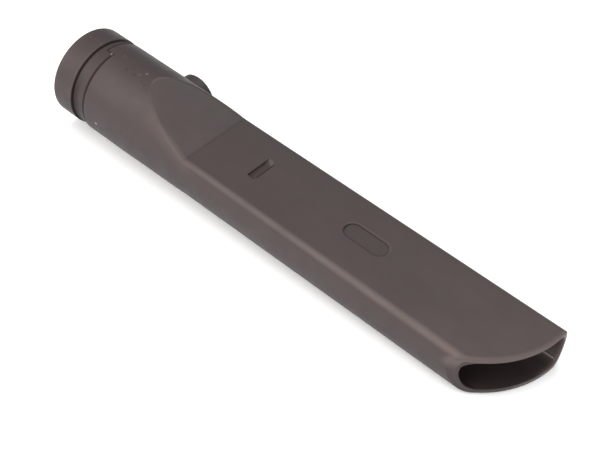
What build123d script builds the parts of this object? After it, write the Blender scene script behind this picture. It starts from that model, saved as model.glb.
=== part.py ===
from build123d import *
from math import atan, degrees, hypot, sqrt
import os

# Crevice tool for a vacuum hose, moulded in one piece.
# X runs along the tube axis from the open end of the collar to the mouth.
# Z is up, the wide flat face is on top, and Y is across the nozzle.
# The origin is the centre of the socket mouth. All sizes are in millimetres.

# Round socket that takes the hose tube, and the tube around it
hose_tube_od = 32.0
socket_clearance = 0.1
socket_depth = 32.0
socket_lead_in = 0.45
socket_wall = 2.95
stop_ledge = 0.6

# Collar band at the open end, the groove behind it, and the low land that ends in two steps
collar_step = 0.1
collar_length = 10.2
collar_edge_radius = 0.45
groove_width = 1.1
groove_depth = 1.3
land_depth = 0.5
near_land_end_past_collar = 7.3
far_land_end_past_collar = 3.6
land_parting_y = -0.8

# Ramps that turn the round tube into the flat nozzle
tool_length = 223.3
ramp_start_past_ledge = 8.5
ramp_length = 32.4
nozzle_narrowing = 0.25
crease_radius = 3.0
top_at_crease = 8.75
top_at_tip = 7.8
floor_at_crease = 10.4
floor_at_tip = 10.4
top_edge_radius = 1.6
floor_edge_radius = 4.2

# Walls of the flat duct
duct_wall_at_crease = 2.4
top_wall_at_tip = 1.9
floor_wall_at_tip = 1.65
side_wall_at_tip = 1.45
duct_corner_radius = 4.2
duct_lean_at_tip = 0.4

# Mouth, cut straight down along one arc seen from above
mouth_arc_inset = 3.2
mouth_arc_overrun = 3.05
upper_lip_radius = 1.5
lower_lip_radius = 0.25
rim_inner_chamfer = 0.25

# Round stud on the far side of the tube
stud_past_ramp_start = 1.8
stud_diameter = 17.8
stud_rise = 2.4
stud_edge_chamfer = 0.5

# Latch pocket and badge recess in the top face
face_features_y = 1.05
pocket_past_crease = 23.9
pocket_width = 3.6
pocket_length = 12.0
pocket_depth = 1.25
pocket_ramp_length = 1.5
pocket_collar_corner = 0.2
pocket_tip_corner = 1.9
badge_past_crease = 75.1
badge_length = 19.2
badge_width = 7.3
badge_depth = 0.35

# Fine rib left by the mould
flash_rib_length = 34.0
flash_rib_width = 0.7
flash_rib_height = 0.45
flash_rib_end_gap = 1.0
flash_rib_angle = -25.0

# Values that follow from the sizes above
socket_r = hose_tube_od / 2 + socket_clearance
tube_r = socket_r + socket_wall
collar_r = tube_r + collar_step
nozzle_r = tube_r - nozzle_narrowing
duct_r = socket_r - stop_ledge
duct_r_at_tip = nozzle_r - side_wall_at_tip
ramp_start_x = socket_depth + ramp_start_past_ledge
crease_x = ramp_start_x + ramp_length
nozzle_length = tool_length - crease_x
mouth_arc_y = nozzle_r - mouth_arc_inset
mouth_arc_radius = nozzle_r + mouth_arc_y + mouth_arc_overrun
mouth_arc_x = tool_length - mouth_arc_radius

# How far cutting solids reach past the part, and how near counts as the same place
beyond = 10.0
clear_z = tube_r + beyond
same_place = 0.01
edge_search = 0.5


def at_x(x, at_crease, at_tip):
    """Value at x of a size that changes evenly from the crease to the tip."""
    return at_crease + (at_tip - at_crease) * (x - crease_x) / nozzle_length


def turned(points):
    """Solid of revolution about the tube axis from (x, radius) points."""
    outline = Polyline(*points, close=True)
    return revolve(make_face(outline), Axis.X)


def side_view(start_z, top_crease, floor_crease, top_tip, floor_tip):
    """Long side view: full height, down both ramps to the creases, then the flat nozzle."""
    top_slope = (start_z - top_crease) / ramp_length
    floor_slope = (start_z - floor_crease) / ramp_length
    end_x = tool_length + beyond
    outline = Polyline(
        (-beyond, -clear_z),
        (-beyond, clear_z),
        (ramp_start_x - (clear_z - start_z) / top_slope, clear_z),
        (crease_x, top_crease),
        (end_x, at_x(end_x, top_crease, top_tip)),
        (end_x, -at_x(end_x, floor_crease, floor_tip)),
        (crease_x, -floor_crease),
        (ramp_start_x - (clear_z - start_z) / floor_slope, -clear_z),
        close=True,
    )
    face = make_face(Plane.XZ * outline)
    creases = [v for v in face.vertices() if abs(v.X - crease_x) < same_place]
    face = fillet(creases, crease_radius)
    return extrude(face, amount=clear_z, both=True)


def long_corner_edges(body, side_r, upper):
    """Edges between a flat or a ramp and the round side, on the upper or lower half."""
    chosen = []
    for e in body.edges():
        middle = e @ 0.5
        box = e.bounding_box()
        runs_along = box.size.X > edge_search
        on_side = abs(middle.Y) > edge_search and hypot(middle.Y, middle.Z) > side_r - edge_search
        in_nozzle = box.min.X > ramp_start_x - edge_search
        if runs_along and on_side and in_nozzle and (middle.Z > 0) == upper:
            chosen.append(e)
    return chosen


def lip_edges(body, upper):
    """The long edge where the curved face of the mouth meets the top or the floor."""
    chosen = []
    for e in body.edges():
        spots = [e @ t for t in (0.0, 0.5, 1.0)]
        gaps = [hypot(p.X - mouth_arc_x, p.Y - mouth_arc_y) - mouth_arc_radius for p in spots]
        runs_across = e.bounding_box().size.Y > tube_r
        on_face = max(abs(g) for g in gaps) < same_place and spots[1].X > mouth_arc_x
        if on_face and runs_across and (spots[1].Z > 0) == upper:
            chosen.append(e)
    return chosen


def land_cut(end_x, side):
    """Half ring that lowers the land behind the collar up to end_x, for side +1 or -1 along Y."""
    land_r = tube_r - land_depth
    ring = turned(
        [(collar_length, land_r), (collar_length, clear_z), (end_x, clear_z), (end_x, land_r)]
    )
    half = Box(4 * clear_z, 2 * clear_z, 4 * clear_z)
    return ring & Pos(0, land_parting_y + side * clear_z, 0) * half


# Outside: a round bar cut by the side view, its long corners rounded
bar_end = tool_length + beyond
outline_solid = side_view(tube_r, top_at_crease, floor_at_crease, top_at_tip, floor_at_tip)
outside = turned(
    [(0, 0), (0, tube_r), (ramp_start_x, tube_r), (crease_x, nozzle_r), (bar_end, nozzle_r),
     (bar_end, 0)]
)
outside = outside & outline_solid
outside = fillet(long_corner_edges(outside, nozzle_r, True), top_edge_radius)
outside = fillet(long_corner_edges(outside, nozzle_r, False), floor_edge_radius)

# Stud: a plain round boss whose axis runs across the tube
stud_x = ramp_start_x + stud_past_ramp_start
stud_face_y = tube_r + stud_rise
stud = extrude(Plane.XZ * Pos(stud_x, 0) * Circle(stud_diameter / 2), amount=-stud_face_y)
stud = chamfer(stud.edges().group_by(Axis.Y)[-1], stud_edge_chamfer)
outside = outside + stud

# Mouth: everything past the arc is cut away, with a soft upper lip and a crisp lower one
arc_low_y = -nozzle_r - mouth_arc_overrun / 2
arc_low_x = mouth_arc_x + sqrt(mouth_arc_radius**2 - (arc_low_y - mouth_arc_y) ** 2)
arc_high_x = mouth_arc_x + sqrt(mouth_arc_radius**2 - (clear_z - mouth_arc_y) ** 2)
mouth_arc = ThreePointArc((arc_low_x, arc_low_y), (tool_length, mouth_arc_y), (arc_high_x, clear_z))
rest_of_plan = Polyline(
    (arc_high_x, clear_z), (-beyond, clear_z), (-beyond, arc_low_y), (arc_low_x, arc_low_y)
)
mouth_plan = make_face(mouth_arc + rest_of_plan)
mouth_cut = outline_solid & extrude(mouth_plan, amount=clear_z, both=True)
mouth_cut = fillet(lip_edges(mouth_cut, True), upper_lip_radius)
mouth_cut = fillet(lip_edges(mouth_cut, False), lower_lip_radius)
outside = outside & mouth_cut

# Collar band with its groove, and the land whose two halves end in different places
groove_end = collar_length + groove_width
groove_floor_r = tube_r - groove_depth
outside = outside - land_cut(collar_length + near_land_end_past_collar, -1)
outside = outside - land_cut(collar_length + far_land_end_past_collar, 1)
outside = outside - turned(
    [(collar_length, groove_floor_r), (collar_length, clear_z), (groove_end, clear_z),
     (groove_end, groove_floor_r)]
)
band = turned([(0, 0), (0, collar_r), (collar_length, collar_r), (collar_length, 0)])
band = fillet(band.edges().filter_by(GeomType.CIRCLE), collar_edge_radius)
outside = outside + band

# Inside: round socket with a stop ledge, then a duct that flattens and widens to the mouth
socket = turned([(-beyond, 0), (-beyond, socket_r), (socket_depth, socket_r), (socket_depth, 0)])
duct_bar = turned(
    [(socket_depth, 0), (socket_depth, duct_r), (crease_x, duct_r), (tool_length, duct_r_at_tip),
     (bar_end, duct_r_at_tip), (bar_end, 0)]
)
duct = duct_bar & side_view(
    tube_r - duct_wall_at_crease,
    top_at_crease - duct_wall_at_crease,
    floor_at_crease - duct_wall_at_crease,
    top_at_tip - top_wall_at_tip,
    floor_at_tip - floor_wall_at_tip,
)
duct = fillet(long_corner_edges(duct, duct_r, True), duct_corner_radius)
duct = fillet(long_corner_edges(duct, duct_r, False), duct_corner_radius)

# The long core leans a little to the far side, as the uneven walls of the mouth show
duct_lean = degrees(atan(duct_lean_at_tip / (tool_length - socket_depth)))
leaning = Pos(socket_depth, 0, 0) * Rot(0, 0, duct_lean) * Pos(-socket_depth, 0, 0)
tool = outside - socket - leaning * duct

# Broken lip of the opening: the inner border of the mouth face
round_faces = tool.faces().filter_by(GeomType.CYLINDER)
mouth_face = max(round_faces, key=lambda f: f.radius or 0)
tool = chamfer(mouth_face.inner_wires()[0].edges(), rim_inner_chamfer)

# Fine flash rib along the far inner wall, where two cores met
rib_x = tool_length - flash_rib_end_gap - flash_rib_length / 2
rib_r = at_x(rib_x, duct_r, duct_r_at_tip)
duct_widening = degrees(atan((duct_r_at_tip - duct_r) / nozzle_length))
rib = Rot(0, 0, duct_widening) * Box(flash_rib_length, 2 * flash_rib_height, flash_rib_width)
tool = tool + leaning * Rot(flash_rib_angle, 0, 0) * Pos(rib_x, rib_r, 0) * rib

# Lead-in chamfer that guides the hose tube into the socket
socket_lip = [
    e for e in tool.edges().filter_by(GeomType.CIRCLE)
    if abs(e.center().X) < same_place and abs(e.radius - socket_r) < same_place
]
tool = chamfer(socket_lip, socket_lead_in)

# Latch pocket, square towards the collar, rounded towards the mouth, with a ramp at one end
pocket_x = crease_x + pocket_past_crease
pocket_floor_z = at_x(pocket_x, top_at_crease, top_at_tip) - pocket_depth
pocket_plan = Rectangle(pocket_width, pocket_length)
pocket_plan = fillet(pocket_plan.vertices().group_by(Axis.X)[0], pocket_collar_corner)
pocket_plan = fillet(pocket_plan.vertices().group_by(Axis.X)[-1], pocket_tip_corner)
pocket_side = Polyline(
    (-pocket_length / 2, 0),
    (pocket_length / 2 - pocket_ramp_length, 0),
    (pocket_length / 2, pocket_depth),
    (pocket_length / 2, beyond),
    (-pocket_length / 2, beyond),
    close=True,
)
pocket = extrude(pocket_plan, amount=beyond)
pocket = pocket & extrude(make_face(Plane.YZ * pocket_side), amount=pocket_width, both=True)
tool = tool - Pos(pocket_x, face_features_y, pocket_floor_z) * pocket

# Shallow recess where a badge can sit, left bare
badge_x = crease_x + badge_past_crease
badge_floor_z = at_x(badge_x, top_at_crease, top_at_tip) - badge_depth
badge = extrude(SlotOverall(badge_length, badge_width), amount=beyond)
tool = tool - Pos(badge_x, face_features_y, badge_floor_z) * badge

print("tool volume", tool.volume, "solids", len(tool.solids()), "valid", tool.is_valid)

os.makedirs("parts", exist_ok=True)
export_step(tool, "parts/crevice_tool.step")
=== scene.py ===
# %% [markdown]
# # Crevice tool in moulded plastic
#
# This lesson dresses one real object: a crevice tool that pushes onto a vacuum hose.
# It is a single moulding, so its whole form comes from the CAD frame, which is loaded
# first and never changed. What is left for Blender is the finish of the plastic, the
# light that shows it, and the place it lies on. The CAD box is measured straight after
# loading.

# %% Load the frame
import math

import bpy
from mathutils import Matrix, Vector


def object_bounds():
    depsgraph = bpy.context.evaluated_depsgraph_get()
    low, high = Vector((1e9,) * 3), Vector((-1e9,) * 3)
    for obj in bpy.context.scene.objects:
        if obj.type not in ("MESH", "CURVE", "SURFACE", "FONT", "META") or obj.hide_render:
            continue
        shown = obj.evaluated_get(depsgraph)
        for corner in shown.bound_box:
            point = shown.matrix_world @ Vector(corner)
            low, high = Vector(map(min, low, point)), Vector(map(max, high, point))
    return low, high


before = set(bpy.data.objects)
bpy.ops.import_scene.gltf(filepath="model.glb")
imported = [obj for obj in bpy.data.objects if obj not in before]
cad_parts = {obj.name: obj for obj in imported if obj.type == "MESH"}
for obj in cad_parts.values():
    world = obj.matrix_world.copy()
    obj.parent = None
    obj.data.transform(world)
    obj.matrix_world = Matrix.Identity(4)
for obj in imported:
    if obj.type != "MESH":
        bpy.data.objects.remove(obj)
cad_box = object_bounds()
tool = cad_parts["crevice_tool"]
print("frame holds", sorted(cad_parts), "box", [[round(v, 4) for v in c] for c in cad_box])

# %% [markdown]
# The sizes that the finish needs are the ones a maker would read off the drawing: the
# radius of the tube, where the ramps start and end, and how high the flat face is. They
# are given in millimetres, and MM turns them into Blender's metres where something is
# placed. The flat face drops a little towards the mouth, so it has a height at both ends.

# %% Sizes that the finish follows, in millimetres
MM = 0.001
TIP = cad_box[1][0] / MM
TUBE_R = 19.05
NOZZLE_R = 18.8
COLLAR_R = 19.15
COLLAR_END = 10.2
RAMP_START = 40.5
CREASE = 72.9
TOP_AT_CREASE = 8.75
TOP_AT_TIP = 7.8
UNDERSIDE_Z = -10.4
RAMP_SLOPE = (TUBE_R - TOP_AT_CREASE) / (CREASE - RAMP_START)
FLAT_SLOPE = (TOP_AT_CREASE - TOP_AT_TIP) / (TIP - CREASE)
print("ramp angle", round(math.degrees(math.atan(RAMP_SLOPE)), 2))

# %% [markdown]
# The tool can't stand up, so it lies as it would come to rest: on the lower edge of its
# collar at one end and on the lower lip of the mouth at the other. The floor is laid
# against those two lines, which tips it by a couple of degrees. A plain plane is enough
# for a studio floor, because the camera looks down and never sees its edge. The paint
# glows a little, like a light table, which keeps the shadows pale.

# %% Pale floor that the tool rests on
FLOOR_WIDTH = 8.0
FLOOR_GAP = 0.05
COLLAR_CONTACT = COLLAR_END - 0.3
LIP_CONTACT = TIP - 0.4
rest_slope = (UNDERSIDE_Z + COLLAR_R) / (LIP_CONTACT - COLLAR_CONTACT)
rest_angle = math.atan(rest_slope)
middle_x = (COLLAR_END + LIP_CONTACT) / 2
middle_z = -COLLAR_R + rest_slope * (middle_x - COLLAR_END) - FLOOR_GAP

bpy.ops.object.select_all(action="DESELECT")
bpy.ops.mesh.primitive_plane_add(
    size=FLOOR_WIDTH,
    location=(middle_x * MM, 0, middle_z * MM),
    rotation=(0, -rest_angle, 0),
)
floor = bpy.context.object
floor.name = "studio_floor"
bpy.ops.object.transform_apply(location=True, rotation=True, scale=True)
print("floor tipped by", round(math.degrees(rest_angle), 2), "degrees")

# %% Floor finish
FLOOR_COLOUR = (0.93, 0.93, 0.93, 1)
FLOOR_ROUGHNESS = 0.8
FLOOR_SHEEN = 0.2
FLOOR_GLOW = 0.14
floor_paint = bpy.data.materials.new("pale_floor")
floor_paint.use_nodes = True
paint = floor_paint.node_tree.nodes["Principled BSDF"]
paint.inputs["Base Color"].default_value = FLOOR_COLOUR
paint.inputs["Roughness"].default_value = FLOOR_ROUGHNESS
paint.inputs["Specular IOR Level"].default_value = FLOOR_SHEEN
paint.inputs["Emission Color"].default_value = (1, 1, 1, 1)
paint.inputs["Emission Strength"].default_value = FLOOR_GLOW
floor.data.materials.append(floor_paint)

# %% [markdown]
# The camera stands where the photographer stood. A long lens at about half a metre gives
# the mild perspective of a product photo: the mouth, which is nearer, looks a little
# larger than the collar.

# %% Camera
CAMERA_LENS = 73.6505
CAMERA_SENSOR = 36.0
CAMERA_PLACE = (0.3211, -0.2405, 0.3297)
CAMERA_TURN = (43.14397, -2.05507, 42.39384)
camera_data = bpy.data.cameras.new("product_camera")
camera_data.sensor_width = CAMERA_SENSOR
camera_data.lens = CAMERA_LENS
camera_data.clip_start = 0.01
camera = bpy.data.objects.new("product_camera", camera_data)
camera.location = CAMERA_PLACE
camera.rotation_euler = [math.radians(angle) for angle in CAMERA_TURN]
bpy.context.scene.collection.objects.link(camera)
bpy.context.scene.camera = camera

# %% [markdown]
# Matte dark plastic shows its form through soft reflections. Five large soft lights stand
# round the tool at the same distance: two low ones, which draw the near side and the inside
# of the mouth, two higher ones for the round tube and the far side, and one overhead,
# which fills the flat top. A weak white room fills in what they miss.

# %% Studio light
ROOM_LIGHT = 0.35
LIGHT_TARGET_X = 0.12
LIGHT_DISTANCE = 0.9
LIGHT_SIZE = 0.7

world = bpy.data.worlds.new("white_room")
bpy.context.scene.world = world
world.use_nodes = True
world.node_tree.nodes["Background"].inputs["Color"].default_value = (1.0, 1.0, 1.0, 1)
world.node_tree.nodes["Background"].inputs["Strength"].default_value = ROOM_LIGHT


def soft_light(name, azimuth, elevation, power, tint):
    """Adds a square light that shines at the middle of the tool from a compass direction."""
    turn, lift = math.radians(azimuth), math.radians(elevation)
    reach = LIGHT_DISTANCE * math.cos(lift)
    data = bpy.data.lights.new(name, "AREA")
    data.shape = "SQUARE"
    data.size = LIGHT_SIZE
    data.energy = power
    data.color = tint
    light = bpy.data.objects.new(name, data)
    light.location = (
        LIGHT_TARGET_X + reach * math.cos(turn),
        reach * math.sin(turn),
        LIGHT_DISTANCE * math.sin(lift),
    )
    light.rotation_euler = (math.pi / 2 - lift, 0, turn + math.pi / 2)
    bpy.context.scene.collection.objects.link(light)
    print(name, "at", [round(v, 3) for v in light.location])


soft_light("mouth_light", 0, 15, 4.0, (0.97, 1.0, 1.01))
soft_light("near_light", 270, 15, 4.8, (1.0, 0.98, 0.97))
soft_light("front_light", 225, 40, 5.1, (1.0, 0.99, 0.98))
soft_light("far_light", 90, 60, 2.2, (0.97, 1.0, 1.02))
soft_light("top_light", 180, 85, 4.6, (1.0, 0.99, 0.98))
bpy.context.scene.view_settings.view_transform = "Standard"

# %% [markdown]
# The plastic is one warm dark grey all through. Up close a moulding is never one flat
# colour: the melt flows along the part and leaves faint long streaks, the steel mould
# leaves a fine even grain, and hands rub the edges smoother and paler. Painted highlights,
# painted shade and a painted cool cast are laid over this where the lights alone don't give
# the tone. Each of these is a noise or a mask on Object coordinates, which are turned into
# millimetres here, so that every width below is a real size on the tool.

# %% Plastic: the node helpers
plastic = bpy.data.materials.new("warm_grey_plastic")
plastic.use_nodes = True
tree = plastic.node_tree
tree.nodes.clear()


def node(kind, **settings):
    """Adds a node and sets the properties that are named."""
    made = tree.nodes.new(kind)
    for name, value in settings.items():
        setattr(made, name, value)
    return made


def plug(value, socket):
    """Puts a number, a colour or another node's output into a socket."""
    if isinstance(value, (int, float, tuple)):
        socket.default_value = value
    else:
        tree.links.new(value, socket)


def scaled(vector, factor):
    """Vector or colour times a number or another node's output."""
    made = node("ShaderNodeVectorMath", operation="SCALE")
    plug(vector, made.inputs[0])
    plug(factor, made.inputs["Scale"])
    return made.outputs["Vector"]


def maths(operation, a, b=0.0, clamp=False):
    """One step of arithmetic."""
    made = node("ShaderNodeMath", operation=operation, use_clamp=clamp)
    plug(a, made.inputs[0])
    plug(b, made.inputs[1])
    return made.outputs[0]


def plus(a, b, clamp=False):
    """Sum of two values, held between 0 and 1 if asked."""
    return maths("ADD", a, b, clamp)


def minus(a, b):
    """Difference of two values."""
    return maths("SUBTRACT", a, b)


def times(*values):
    """Product of two or more values."""
    product = values[0]
    for value in values[1:]:
        product = maths("MULTIPLY", product, value)
    return product


def largest(*values):
    """Largest of two or more values."""
    top = values[0]
    for value in values[1:]:
        top = maths("MAXIMUM", top, value)
    return top


def length(a, b):
    """Length of the line with the sides a and b."""
    return maths("SQRT", plus(times(a, a), times(b, b)))


# %% Plastic: the mask helpers
def fade(value, start, end, low=0.0, high=1.0):
    """Smooth step of value from low at start to high at end."""
    made = node("ShaderNodeMapRange", interpolation_type="SMOOTHSTEP")
    plug(value, made.inputs["Value"])
    plug(start, made.inputs["From Min"])
    plug(end, made.inputs["From Max"])
    plug(low, made.inputs["To Min"])
    plug(high, made.inputs["To Max"])
    return made.outputs["Result"]


def fall(value, start, end):
    """Is 1 below start and fades out towards end."""
    return fade(value, start, end, 1.0, 0.0)


def within(value, low, high, soft):
    """Is 1 between low and high and fades out over soft beyond both."""
    return times(fade(value, low - soft, low), fall(value, high, high + soft))


def noise(size, detail, stretch=1.0):
    """Noise with lumps of about size millimetres, stretched along the tool if asked."""
    mapping = node("ShaderNodeMapping")
    mapping.inputs["Scale"].default_value = (1.0 / stretch, 1.0, 1.0)
    plug(place, mapping.inputs["Vector"])
    made = node("ShaderNodeTexNoise")
    plug(mapping.outputs["Vector"], made.inputs["Vector"])
    made.inputs["Scale"].default_value = 1.0 / size
    made.inputs["Detail"].default_value = detail
    return made.outputs["Fac"]


def mark(x, y, z, size):
    """Is 1 at a point of the tool and fades out over size."""
    reach = node("ShaderNodeVectorMath", operation="DISTANCE")
    plug(place, reach.inputs[0])
    reach.inputs[1].default_value = (x, y, z)
    return fall(reach.outputs["Value"], 0.0, size)


def shade(mask, level):
    """Factor that is 1 outside a mask and level inside it."""
    return plus(1.0, times(mask, level - 1.0))


def blend(amount, low, high):
    """Colour between low and high."""
    made = node("ShaderNodeMix", data_type="RGBA")
    plug(amount, made.inputs["Factor"])
    plug(low, made.inputs["A"])
    plug(high, made.inputs["B"])
    return made.outputs["Result"]


# %% [markdown]
# The finish has to know which face it is on. Three measures are enough: how far a point is
# from the axis, how far it lies below the flat top and the ramp that leads up to it, and,
# from these two, how far it is from the long edge between the flat top and the round side.
# X runs along the tool from the collar, Y across it to the far side, and Z up.

# %% Plastic: where a point lies on the tool
place = scaled(node("ShaderNodeTexCoord").outputs["Object"], 1 / MM)
split = node("ShaderNodeSeparateXYZ")
plug(place, split.inputs[0])
X, Y, Z = split.outputs

radial = length(Y, Z)
ramp_z = minus(TUBE_R, times(minus(X, RAMP_START), RAMP_SLOPE))
flat_z = minus(TOP_AT_CREASE, times(minus(X, CREASE), FLAT_SLOPE))
below_top = minus(largest(ramp_z, flat_z), Z)
inside_round = minus(NOZZLE_R, radial)
from_edge = plus(largest(below_top, 0.0), largest(inside_round, 0.0))

outside = fade(radial, 17.6, 17.9)
on_top = fall(below_top, 0.6, 0.9)
upper_side = fade(Z, 4, 8)

# %% Plastic: the long near edge, whose wear and painted highlight widen towards the mouth
edge_width = fade(X, 100, 200, 1.8, 2.3)
near_flats = times(fade(X, CREASE - 20, CREASE + 12), fall(Y, -12, -6))
long_edge = times(fade(from_edge, 0.0, edge_width, 1.0, 0.0), near_flats)

# %% Plastic: colour of the melt, with a painted cool cast on the far side
BODY_COLOUR = (0.0392, 0.0263, 0.0247, 1)
PALE_COLOUR = (0.0446, 0.0304, 0.0288, 1)
GREY_COLOUR = (0.0350, 0.0292, 0.0280, 1)
streaks = noise(9, 4.0, stretch=6.0)
clouds = noise(22, 2.0)
blotches = noise(14, 2.0)
mottle = plus(times(streaks, 0.5), times(clouds, 0.5))
# painted cool cast: greyer on the far side, more on the flank than on the flat top, less towards
# the mouth
far_cool_cast = times(
    fade(Y, -4, 12),
    fade(X, 60, 180, 0.9, 0.15),
    fade(below_top, 0.1, 0.5, 0.55, 1.0),
)
# random grey blotches together with the painted cool cast
greyness_and_cast = plus(fade(blotches, 0.45, 0.65, 0.0, 0.25), far_cool_cast, clamp=True)
melt_and_cast = blend(fade(mottle, 0.3, 0.7), BODY_COLOUR, PALE_COLOUR)
melt_and_cast = blend(greyness_and_cast, melt_and_cast, GREY_COLOUR)

# %% [markdown]
# The mould leaves its marks where its steels meet. Behind the collar runs a groove, and
# behind the groove a low land, a little darker than the tube, that ends in a step. The
# near half of the land is longer than the far half, because the mould parts there. Shade
# is painted into the lower groove, at the foot of the land, under it, against the steps
# and on the far side of the land; the collar's open end and its edge get painted highlights.

# %% Plastic: collar, groove and land
GROOVE_END = 11.3
FAR_LAND_END = 13.8
NEAR_LAND_END = 17.5
PARTING_Y = -0.8
near_half = fall(Y, PARTING_Y - 0.1, PARTING_Y + 0.1)
far_half = fade(Y, PARTING_Y - 0.1, PARTING_Y + 0.1)
near_land_wall = times(near_half, fade(radial, 17.2, 17.4))

# painted highlight on the collar's open end
open_end_highlight = times(fall(X, 1.6, 2.6), outside)
parting_line = times(within(Y, -0.05, 0.05, 0.2), fall(X, 9, 10), upper_side)
# painted highlight on the collar's edge by the groove
collar_edge_highlight = times(within(X, COLLAR_END - 0.7, COLLAR_END - 0.1, 0.4), outside)
near_land = times(within(X, GROOVE_END + 0.1, NEAR_LAND_END - 0.1, 0.1), near_half, outside)
far_land = times(within(X, GROOVE_END + 0.1, FAR_LAND_END - 0.1, 0.1), far_half, outside)
# painted shade on the far side of the land
far_land_shade = times(far_land, fade(Y, 4, 12))
# painted shade against the near and far steps at the ends of the land
near_step_shade = times(within(X, NEAR_LAND_END - 0.7, NEAR_LAND_END + 0.35, 0.45), near_half, outside)
far_step_shade = times(within(X, FAR_LAND_END - 0.5, FAR_LAND_END + 0.3, 0.35), far_half, outside)
# painted shade along the step where the near land runs past the far land
parting_step_shade = times(
    within(Y, PARTING_Y - 0.15, PARTING_Y + 0.2, 0.15),
    within(X, FAR_LAND_END - 0.2, NEAR_LAND_END, 0.2),
    upper_side,
)
# painted shade in the lower near side of the groove
groove_shade = times(
    within(X, COLLAR_END + 0.05, GROOVE_END, 0.1),
    near_half,
    fade(radial, 16.4, 16.7),
    fall(Z, 3, 15),
)
# painted shade on the near land just behind the groove, deeper low down
land_foot_shade = times(
    fade(X, GROOVE_END - 0.2, GROOVE_END),
    fall(X, GROOVE_END + 0.7, GROOVE_END + 3.7),
    near_land_wall,
    fall(Z, 5, 16),
)
# painted shade under the near land
land_underside_shade = times(
    within(X, COLLAR_END + 0.1, NEAR_LAND_END - 0.1, 0.1),
    near_land_wall,
    fall(Z, -2, 7),
)

# %% [markdown]
# Five soft lights don't follow every turn of a real studio. A few broad masks make up the
# difference in tone on the tube and the ramp: darker low down on the near side and on the
# far flank, a little paler on the shoulder and where the ramp's edges catch the light.

# %% Plastic: light and shade on the tube and the ramp
low_side = times(fall(Z, -4, 6), fall(Y, -10, 0), outside)
low_collar = times(low_side, fall(X, COLLAR_END - 0.7, COLLAR_END + 0.3))
low_tube = times(
    fade(X, 18, 20),
    fall(X, 55, 100),
    fall(Y, -14, -4),
    fall(Z, 0, 11),
    outside,
)
tube_shoulder = times(
    within(X, 23, 50, 6),
    within(Y, -15, -8, 4),
    fade(Z, 6, 11),
    outside,
)
far_flank = times(
    within(X, 50, 70, 6),
    fade(Y, 8, 12),
    fade(below_top, 0.3, 0.9),
    outside,
)
ramp_lip = times(
    fade(X, 38, 40),
    fall(X, 50, 56),
    within(Y, -1, 6, 2),
    fade(radial, TUBE_R - 0.3, TUBE_R - 0.1),
    fall(below_top, 0.05, 0.2),
)
ramp_side = times(
    fade(X, 44, 58),
    fall(X, 74, 84),
    fall(Y, -10, -5),
    within(below_top, 0.2, 1.0, 5),
    fall(inside_round, 0.15, 0.35),
)
# painted shade along the crease where the ramp meets the flat top
crease_shade = times(within(X, CREASE - 0.25, CREASE + 0.25, 0.7), fall(below_top, 0.3, 0.5))

# %% [markdown]
# Two shallow shapes are sunk into the flat top. The latch pocket is painted darker inside,
# with painted shade along its front wall and at its near end and painted light on its back
# wall and its round end. The oval recess is a straight slot with round ends, so its outline
# is one distance: how far a point is from the slot's middle line, less the radius of the
# ends. Its floor and near side get painted shade and its far rim a painted highlight.

# %% Plastic: latch pocket
POCKET_BACK = 95.0
POCKET_FRONT = 98.6
POCKET_NEAR = -4.95
POCKET_FAR = 7.05
above_pocket_floor = fall(below_top, 1.6, 2.0)
# inside of the pocket, painted darker as shade
pocket = times(
    within(X, POCKET_BACK, POCKET_FRONT, 0.1),
    within(Y, POCKET_NEAR, POCKET_FAR, 0.1),
    fade(below_top, 0.1, 0.3),
    above_pocket_floor,
)
# painted light on the pocket's round end and its back wall
pocket_end_light = times(pocket, fade(Y, POCKET_FAR - 2.45, POCKET_FAR - 1.45))
pocket_back_light = times(pocket, fall(X, POCKET_BACK + 0.15, POCKET_BACK + 0.45))
# painted shadow along the pocket's front wall
pocket_front_shadow = times(
    within(X, POCKET_FRONT - 0.4, POCKET_FRONT + 0.35, 0.25),
    within(Y, -3.6, 5.4, 0.6),
    above_pocket_floor,
)
# painted shade at the pocket's near end
pocket_near_shade = times(
    within(X, POCKET_BACK + 0.6, POCKET_FRONT - 0.2, 0.3),
    within(Y, POCKET_NEAR - 0.15, POCKET_NEAR + 0.45, 0.25),
    on_top,
)

# %% Plastic: oval recess
OVAL_X = 148.0
OVAL_Y = 1.05
OVAL_R = 3.65
OVAL_HALF_STRAIGHT = 5.95
oval_x = largest(minus(maths("ABSOLUTE", minus(X, OVAL_X)), OVAL_HALF_STRAIGHT), 0.0)
oval_y = minus(Y, OVAL_Y)
oval_out = minus(length(oval_x, oval_y), OVAL_R)
# painted shade on the oval's floor and near side, painted highlight on its far rim
oval_floor_shade = times(fall(oval_out, -0.2, 0.0), on_top)
oval_near_shade = times(within(oval_out, -0.35, 0.1, 0.25), on_top, fall(oval_y, -1, 2.5))
oval_rim_highlight = times(within(oval_out, 0.45, 0.8, 0.35), on_top, fade(oval_y, 0, 2))

# %% [markdown]
# The mouth is cut along one arc, so the lip's wear and painted highlight follow the distance
# from that arc. Inside, the duct is painted darker as shade, while its far wall gets painted
# light above the thin rib of flash that the core of the mould left there, and the rib a
# painted highlight. The flat top just behind the mouth is painted a little lighter.

# %% Plastic: mouth and duct
MOUTH_ARC_X = 185.85
MOUTH_ARC_Y = 15.6
MOUTH_ARC_R = 37.45
RIB_SLOPE = math.tan(math.radians(25))
arc_gap = minus(MOUTH_ARC_R, length(minus(X, MOUTH_ARC_X), minus(Y, MOUTH_ARC_Y)))
duct = times(
    fade(X, 12, 20),
    fall(radial, 17.35, 17.6),
    fade(Z, -8.9, -8.7),
    fade(below_top, 1.5, 1.8),
)
# painted shade inside the duct, but not on its far wall
duct_shade = times(duct, fall(Y, 4, 12))
rib_height = plus(Z, times(Y, RIB_SLOPE))
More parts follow.
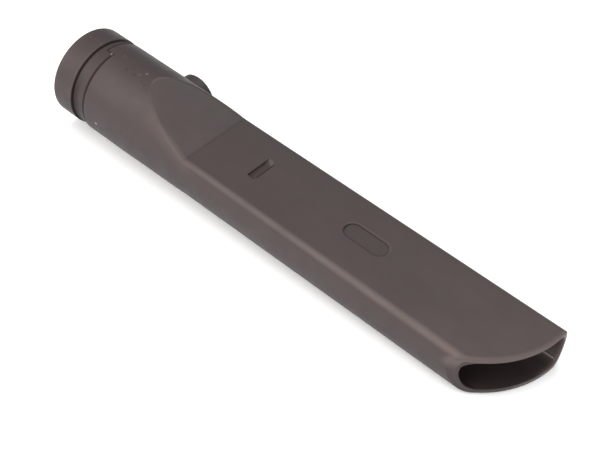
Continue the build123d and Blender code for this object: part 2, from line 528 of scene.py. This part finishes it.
# the rib of flash, painted much paler below as a highlight
rib = times(
    fade(X, 187, 189),
    fade(Y, 6, 8),
    within(rib_height, -0.35, 0.35, 0.25),
    fall(radial, 17.3, 17.6),
)
# painted light on the duct's far wall above the rib
far_wall_light = times(duct, fade(X, 170, 195), fade(Y, 9, 14), fade(rib_height, -0.6, 0.3))
# painted light on the flat top just behind the mouth
mouth_end_light = times(fall(arc_gap, 3, 22), fade(X, 180, 190), on_top)
# painted highlight and wear on the rim of the mouth
mouth_rim_highlight = times(
    fall(arc_gap, 0.5, 1.7),
    fade(X, 195, 197),
    largest(minus(1.0, duct), fade(Y, 4, 10)),
    largest(fade(Z, 0, 5), fade(Y, -5, 0)),
)

# %% Plastic: how pale or dark each place is
tone = times(
    shade(open_end_highlight, 1.12),
    shade(parting_line, 1.3),
    shade(collar_edge_highlight, 1.15),
    shade(near_land, 0.8),
    shade(far_land, 0.88),
    shade(parting_step_shade, 0.85),
    shade(land_underside_shade, 0.3),
    shade(low_side, 0.7),
    shade(low_collar, 0.5),
    shade(low_tube, 0.82),
    shade(tube_shoulder, 1.1),
    shade(far_flank, 0.6),
    shade(ramp_lip, 1.5),
    shade(ramp_side, 1.45),
    shade(crease_shade, 0.75),
    shade(pocket, 0.8),
    shade(pocket_end_light, 1.5),
    shade(pocket_back_light, 2.0),
    shade(pocket_near_shade, 0.3),
    shade(oval_floor_shade, 0.9),
    shade(oval_near_shade, 0.4),
    shade(oval_rim_highlight, 1.35),
    shade(duct_shade, 0.75),
    shade(far_wall_light, 1.5),
    shade(rib, 3.0),
    shade(mouth_end_light, 1.2),
)

# %% [markdown]
# Use leaves its own marks. The long near edge is rubbed smoother and painted paler, as wear
# and as a painted highlight, unevenly, because some stretches touch the wall and others
# don't. The rim of the mouth shows wear and gets a painted highlight too. A few dark scuffs
# and bright nicks lie on the tube, where the tool was dropped.

# %% Plastic: scuffs, each with its place and its size
SCUFF_LEVEL = 0.45
SCUFFS = (
    (28.0, -3.4, 18.7, 0.9),
    (30.0, -1.2, 19.0, 0.6),
    (32.2, -3.5, 18.7, 0.9),
    (32.2, -19.0, 0.0, 0.9),
    (34.5, -18.9, 1.4, 0.7),
    (37.5, -4.2, 18.6, 0.6),
    (39.4, -4.9, 18.3, 0.9),
    (39.8, -18.7, 3.6, 0.9),
)
for x, y, z, size in SCUFFS:
    tone = times(tone, shade(mark(x, y, z, size), SCUFF_LEVEL))
colour = scaled(melt_and_cast, tone)

# %% Plastic: painted shade, wear with painted highlights, and nicks over the melt
SHADE_COLOUR = (0.0150, 0.0055, 0.0045, 1)
WORN_AND_HIGHLIGHT_COLOUR = (0.100, 0.073, 0.068, 1)
NICK_COLOUR = (0.30, 0.27, 0.26, 1)
NICKS = (
    (16.5, -1.1, 18.6, 0.8, 0.7),
    (21.5, 1.5, 19.0, 0.5, 0.25),
    (25.0, -18.9, -1.5, 0.9, 1.0),
    (34.0, -2.2, 18.9, 0.5, 0.25),
    (35.8, 0.1, 19.0, 0.7, 0.5),
    (36.2, -18.6, 2.6, 0.5, 0.25),
)
# painted shade in one dark colour: against the steps, along the pocket's front wall, in the
# groove, at the land's foot and on the far side of the land
painted_shade = largest(
    near_step_shade,
    far_step_shade,
    pocket_front_shadow,
    groove_shade,
    times(land_foot_shade, 0.75),
    times(far_land_shade, 0.65),
)
rubbing = noise(5, 4.0, stretch=5.0)
# painted highlight along the near long edge, broken up by rubbing like wear
edge_wear_and_highlight = times(long_edge, fade(rubbing, 0.2, 0.7, 0.6, 1.0))
worn_and_highlight = largest(times(edge_wear_and_highlight, fade(X, 90, 200, 0.75, 1.0)), times(mouth_rim_highlight, 0.7))
colour = blend(times(painted_shade, 0.95), colour, SHADE_COLOUR)
colour = blend(worn_and_highlight, colour, WORN_AND_HIGHLIGHT_COLOUR)
for x, y, z, size, amount in NICKS:
    colour = blend(times(mark(x, y, z, size), amount), colour, NICK_COLOUR)
print("tube has", len(SCUFFS), "scuffs and", len(NICKS), "nicks")

# %% Plastic: shader
SHEEN = 0.35
WORN_SMOOTHER = 0.05
SHADE_ROUGHER = 0.4
shader = node("ShaderNodeBsdfPrincipled")
output = node("ShaderNodeOutputMaterial")
plug(shader.outputs["BSDF"], output.inputs["Surface"])
plug(colour, shader.inputs["Base Color"])
handling = noise(6, 3.0)
roughness = minus(fade(handling, 0.25, 0.75, 0.49, 0.57), times(edge_wear_and_highlight, WORN_SMOOTHER))
# the painted shade is also made rougher, so it reflects less
roughness = plus(roughness, times(painted_shade, SHADE_ROUGHER), clamp=True)
plug(roughness, shader.inputs["Roughness"])
shader.inputs["Specular IOR Level"].default_value = SHEEN

# %% [markdown]
# Two bumps give the surface its touch. The wide one rounds the long near edge a little
# more, as years of rubbing do. The fine one is the grain of the spark-eroded mould.

# %% Plastic: surface relief
EDGE_SOFTENING = 0.65 * MM
GRAIN_SIZE = 0.35
GRAIN_DEPTH = 0.03 * MM
GRAIN_STRENGTH = 0.25
wide_bump = node("ShaderNodeBump")
wide_bump.inputs["Strength"].default_value = 1.0
wide_bump.inputs["Distance"].default_value = 1.0
plug(times(long_edge, -EDGE_SOFTENING), wide_bump.inputs["Height"])
grain_bump = node("ShaderNodeBump")
grain_bump.inputs["Strength"].default_value = GRAIN_STRENGTH
grain_bump.inputs["Distance"].default_value = GRAIN_DEPTH
plug(noise(GRAIN_SIZE, 2.0), grain_bump.inputs["Height"])
plug(wide_bump.outputs["Normal"], grain_bump.inputs["Normal"])
plug(grain_bump.outputs["Normal"], shader.inputs["Normal"])
for slot in tool.material_slots:
    slot.material = plastic
print("plastic has", len(tree.nodes), "nodes on", len(tool.material_slots), "slot")
